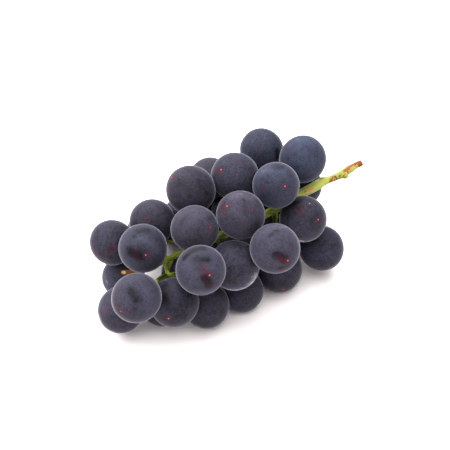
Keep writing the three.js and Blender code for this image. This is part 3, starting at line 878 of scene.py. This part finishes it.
def meet_stem(pixel):
    """Where the line of sight through a pixel meets the stem, if it does."""
    return stem_tree.ray_cast(camera.location, sight(pixel))[0]


def stem_marks(listed):
    """How strongly the listed strokes mark each point of the stem."""
    mark = np.zeros(len(stem_place))
    for start, end, width, strength in listed:
        ends = [meet_stem(pixel) for pixel in (start, end)]
        if None in ends:
            print("misses the stem:", start, end)
            continue
        line = stroke(stem_place, np.array(ends[0]), np.array(ends[1]), width * MM)
        mark = np.maximum(mark, strength * line)
    return mark


def raise_knobs():
    """Where the points lie once each knob has been pushed out by its height."""
    height = sum(
        stem_marks([(start, end, width, 1.0)]) * rise * MM for start, end, width, rise in KNOBS
    )
    return stem_place + read_points(stem.data, "normal") * height[:, None]


def dryness():
    """How dry each point is, from none to full."""
    start, knuckle = (np.array(meet_stem(pixel)) for pixel in (DRY_FROM, KNUCKLE))
    past_start = (stem_place - start) @ unit(start - knuckle) / DRY_EDGE
    from_tip = np.linalg.norm(stem_place - far_tip, axis=1) / DRY_TIP
    return np.clip(np.maximum(0.5 + past_start, TIP_DRYNESS - from_tip), 0, 1)


stem_tree = search_tree()
stem_place = raise_knobs()
write_points(stem.data, stem_place)
stem_tree = search_tree()
cut_end = stem_place[np.argmax(stem_place[:, 0])]
far_tip = np.array(meet_stem(TIP_PIXEL) or stem_place[np.argmin(stem_place[:, 0])])
print("cut end and far tip, in mm:", (cut_end / MM).round(1), (far_tip / MM).round(1))
keep(stem.data, "dry", dryness())
for mark, listed in STEM_MARKS.items():
    keep(stem.data, mark, stem_marks(listed))
# Outside the bunch the stalk is lime. Inside it, it fades to a darker green that paints the shade there.
outside_from = cut_end[0] - OUTSIDE_LENGTH
keep(stem.data, "outside", np.clip((stem_place[:, 0] - outside_from) / OUTSIDE_FADE, 0, 1))

# %% [markdown]
# The stem's finish is a waxy yellow-green with fine fibres along it. It turns brown and rough at the
# scars and red-brown where it is dry. Deep in the bunch it fades to a darker green, which is painted
# shade where the berries shade it.
# %% The stem finish
LIME = (0.26, 0.285, 0.045, 1)
# The colour of the painted light strokes.
PAINTED_LIGHT_LIME = (0.40, 0.45, 0.088, 1)
# The colour of the painted shade strokes, almost black.
PAINTED_SHADE_GREEN = (0.010, 0.014, 0.003, 1)
# Green of the fibres and green spots, and also the painted shade of the stalk deep in the bunch.
GREEN_AND_PAINTED_SHADE = (0.11, 0.155, 0.008, 1)
CREAM = (0.36, 0.28, 0.11, 1)
SCAR_BROWN = (0.165, 0.052, 0.012, 1)
SCAR_PINK = (0.54, 0.25, 0.10, 1)
DRY_BROWN = (0.17, 0.045, 0.016, 1)
DARK_BROWN = (0.050, 0.016, 0.018, 1)

STEM_CLOUD = {"scale": 0.18, "detail": 2.0}
STEM_MOTTLE = {"scale": 0.9, "detail": 3.0}
FIBRE = {"scale": 2.2, "detail": 3.0, "rough": 0.6}
STEM_GRAIN = {"scale": 4.0, "detail": 2.0}
FIBRE_SLIMNESS = 0.85
OUTSIDE_LIME = 0.9
CLOUD_LIME = (0.4, 0.7, 0.0, 0.3)
FIBRE_CREAM = (0.45, 0.7, 0.0, 0.45)
FIBRE_GREEN = (0.5, 0.3, 0.0, 0.4)
FIBRE_PINK = (0.35, 0.65, 0.0, 0.3)
WITHERED = (0.4, 0.62)
RAGGED_SWING = 0.35
MARK_EDGES = {
    "pale": (0.25, 0.6), "scarred": (0.3, 0.6), "pink": (0.35, 0.6), "dry": (0.3, 0.7), "dark": (0.35, 0.7),
}
SMOOTH_BARK = 0.5
ROUGHER = 0.3
STEM_GRAIN_RELIEF = 0.4
FIBRE_RELIEF = 0.5


def make_stem_finish():
    """Green bark with fibres, scars, bruises and dry ends in one finish."""
    material, tree, shader = new_material("green_stalk")
    place = place_in_mm(tree)
    grown = unit(cut_end - far_tip)
    along = calc(tree, "MULTIPLY", vector(tree, "DOT_PRODUCT", place, tuple(grown)), FIBRE_SLIMNESS)
    drawn_out = vector(tree, "SUBTRACT", place, vector(tree, "SCALE", tuple(grown), along))
    cloud = noise(tree, place, **STEM_CLOUD)
    mottle = noise(tree, place, **STEM_MOTTLE)
    fibre = noise(tree, drawn_out, **FIBRE)
    grain = noise(tree, place, **STEM_GRAIN)
    # Painted shade: the stalk fades from lime outside the bunch to a darker green inside it.
    colour = mix(tree, calc(tree, "MULTIPLY", stored(tree, "outside"), OUTSIDE_LIME), GREEN_AND_PAINTED_SHADE, LIME)
    colour = mix(tree, ramp(tree, cloud, *CLOUD_LIME), colour, LIME)
    # Painted light where the berries above shade the bare stem.
    colour = mix(tree, stored(tree, "painted_light"), colour, PAINTED_LIGHT_LIME)
    colour = mix(tree, ramp(tree, fibre, *FIBRE_CREAM), colour, CREAM)
    colour = mix(tree, ramp(tree, fibre, *FIBRE_GREEN), colour, GREEN_AND_PAINTED_SHADE)
    colour = mix(tree, stored(tree, "green"), colour, GREEN_AND_PAINTED_SHADE)

    ragged = swing(tree, mottle, RAGGED_SWING)
    marked = {}
    for mark, edge in MARK_EDGES.items():
        marked[mark] = ramp(tree, calc(tree, "ADD", stored(tree, mark), ragged), *edge)
    brown = mix(tree, ramp(tree, fibre, *FIBRE_PINK), SCAR_BROWN, SCAR_PINK)
    withered = mix(tree, ramp(tree, mottle, *WITHERED), DRY_BROWN, SCAR_BROWN)
    colour = mix(tree, marked["scarred"], colour, brown)
    colour = mix(tree, marked["pink"], colour, SCAR_PINK)
    colour = mix(tree, marked["dry"], colour, withered)
    colour = mix(tree, marked["pale"], colour, CREAM)
    colour = mix(tree, marked["dark"], colour, DARK_BROWN)
    # Painted shade: near black where the stalk lies in deep shadow among the berries.
    colour = mix(tree, stored(tree, "painted_shade"), colour, PAINTED_SHADE_GREEN)
    feed(tree, shader["Base Color"], colour)
    rough = calc(tree, "MAXIMUM", marked["scarred"], marked["dry"])
    feed(tree, shader["Roughness"], calc(tree, "MULTIPLY_ADD", rough, ROUGHER, SMOOTH_BARK))
    shader["Specular IOR Level"].default_value = 0.15
    shader["Subsurface Weight"].default_value = 0.12
    shader["Subsurface Radius"].default_value = (0.6, 0.5, 0.15)
    shader["Subsurface Scale"].default_value = 0.8 * MM
    relief = calc(tree, "MULTIPLY_ADD", fibre, FIBRE_RELIEF, mottle)
    relief = calc(tree, "MULTIPLY_ADD", grain, STEM_GRAIN_RELIEF, relief)
    bump = add(tree, "ShaderNodeBump", {"Height": relief, "Strength": 0.5, "Distance": 0.15 * MM})
    feed(tree, shader["Normal"], bump.outputs[0])
    return material


green_stalk = make_stem_finish()
print("stem finish:", len(green_stalk.node_tree.nodes), "nodes")

# %% [markdown]
# Bark relief is too fine for the copied shape, so a second geometry tree raises it from the smoothed
# surface: low uneven swellings and small warts everywhere, and wrinkles where the stem is dry. The scars
# lie a little lower than the bark round them.
# %% The bark tree
BARK = {
    "Swelling": 0.10 * MM,
    "Swelling Scale": 380.0,
    "Wart Height": 0.14 * MM,
    "Wart Scale": 420.0,
    "Wrinkle": 0.35 * MM,
    "Wrinkle Scale": 1100.0,
    "Scar Depth": 0.25 * MM,
    "Seed": 2.0,
}
WART_EDGE = (0.12, 0.3)


def make_bark_tree():
    """The stem's points pushed out along their normals by the sum of all the relief."""
    tree, given, result = new_shape_tree("bark", BARK)
    position = tree.nodes.new("GeometryNodeInputPosition").outputs[0]
    normal = tree.nodes.new("GeometryNodeInputNormal").outputs[0]

    def kept(name):
        return add(tree, "GeometryNodeInputNamedAttribute", {"Name": name}, data_type="FLOAT").outputs[0]

    def lump(scale_name, height_name, weight=1.0):
        wave = noise(tree, position, given[scale_name], 2.0, given["Seed"])
        centred = calc(tree, "SUBTRACT", wave, 0.5)
        return calc(tree, "MULTIPLY", calc(tree, "MULTIPLY", centred, given[height_name]), weight)

    cells = add(tree, "ShaderNodeTexVoronoi", {"Vector": position, "Scale": given["Wart Scale"]})
    wart = ramp(tree, cells.outputs["Distance"], *WART_EDGE, 1.0, 0.0)
    rise = calc(tree, "MULTIPLY", wart, given["Wart Height"])
    rise = calc(tree, "ADD", rise, lump("Swelling Scale", "Swelling", 2.0))
    rise = calc(tree, "ADD", rise, lump("Wrinkle Scale", "Wrinkle", kept("dry")))
    rise = calc(tree, "SUBTRACT", rise, calc(tree, "MULTIPLY", kept("scarred"), given["Scar Depth"]))
    shift = vector(tree, "SCALE", normal, rise)
    moved = add(tree, "GeometryNodeSetPosition", {"Geometry": given["Geometry"], "Offset": shift})
    smooth = add(tree, "GeometryNodeSetShadeSmooth", {"Geometry": moved.outputs[0]})
    finish_tree(tree, smooth.outputs[0], given["Material"], result)
    return tree


bark_tree = make_bark_tree()
stalk_mesh = stem.data
bpy.data.objects.remove(stem)
stalk = grow("green_stalk", bark_tree, {**BARK, "Material": green_stalk}, stalk_mesh)
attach(stalk, "root")
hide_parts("stalk")
print("stalk:", len(stalk.data.polygons), "faces")

# %% [markdown]
# The bunch lies on a plain pale floor under soft studio light. A broad lamp overhead and a smaller one
# behind, both a little to the left, give the soft shadow in front of the bunch, and a bright even
# surround fills the rest, as white paper walls do.
# %% Floor and light
FLOOR_SIZE = 6.0
FLOOR_COLOUR = (0.93, 0.87, 0.87, 1)
SURROUND_COLOUR = (1.0, 1.0, 1.0, 1)
SURROUND_STRENGTH = 0.8
TO_THE_LEFT = 0.3


def make_floor():
    """A wide matt sheet under the bunch, which is no part of it."""
    half = FLOOR_SIZE / 2
    mesh = bpy.data.meshes.new("floor")
    corners = [(-half, -half, 0), (half, -half, 0), (half, half, 0), (-half, half, 0)]
    mesh.from_pydata(corners, [], [(0, 1, 2, 3)])
    material, _, shader = new_material("pale_floor")
    shader["Base Color"].default_value = FLOOR_COLOUR
    shader["Roughness"].default_value = 0.9
    shader["Specular IOR Level"].default_value = 0.1
    mesh.materials.append(material)
    floor = bpy.data.objects.new("floor", mesh)
    bpy.context.scene.collection.objects.link(floor)


def add_lamp(name, size, power, offset):
    """A square lamp that faces the bunch from an offset."""
    lamp = bpy.data.lights.new(name, "AREA")
    lamp.size = size
    lamp.energy = power
    stand = bpy.data.objects.new(name, lamp)
    stand.location = AIM + Vector(offset)
    stand.rotation_euler = Vector(offset).to_track_quat("Z", "Y").to_euler()
    bpy.context.scene.collection.objects.link(stand)


make_floor()
back = turned @ Vector((0, 0, -1))
back.z = 0
back.normalize()
side = turned @ Vector((1, 0, 0))
left = -side * TO_THE_LEFT
add_lamp("overhead", size=2.0, power=56, offset=left + Vector((0, 0, 1.0)))
add_lamp("behind", size=1.2, power=20, offset=left + back + Vector((0, 0, 0.8)))
world = bpy.data.worlds.new("surround")
world.use_nodes = True
surround = world.node_tree.nodes["Background"].inputs
surround["Color"].default_value = SURROUND_COLOUR
surround["Strength"].default_value = SURROUND_STRENGTH
bpy.context.scene.world = world
bpy.context.scene.view_settings.view_transform = "Standard"
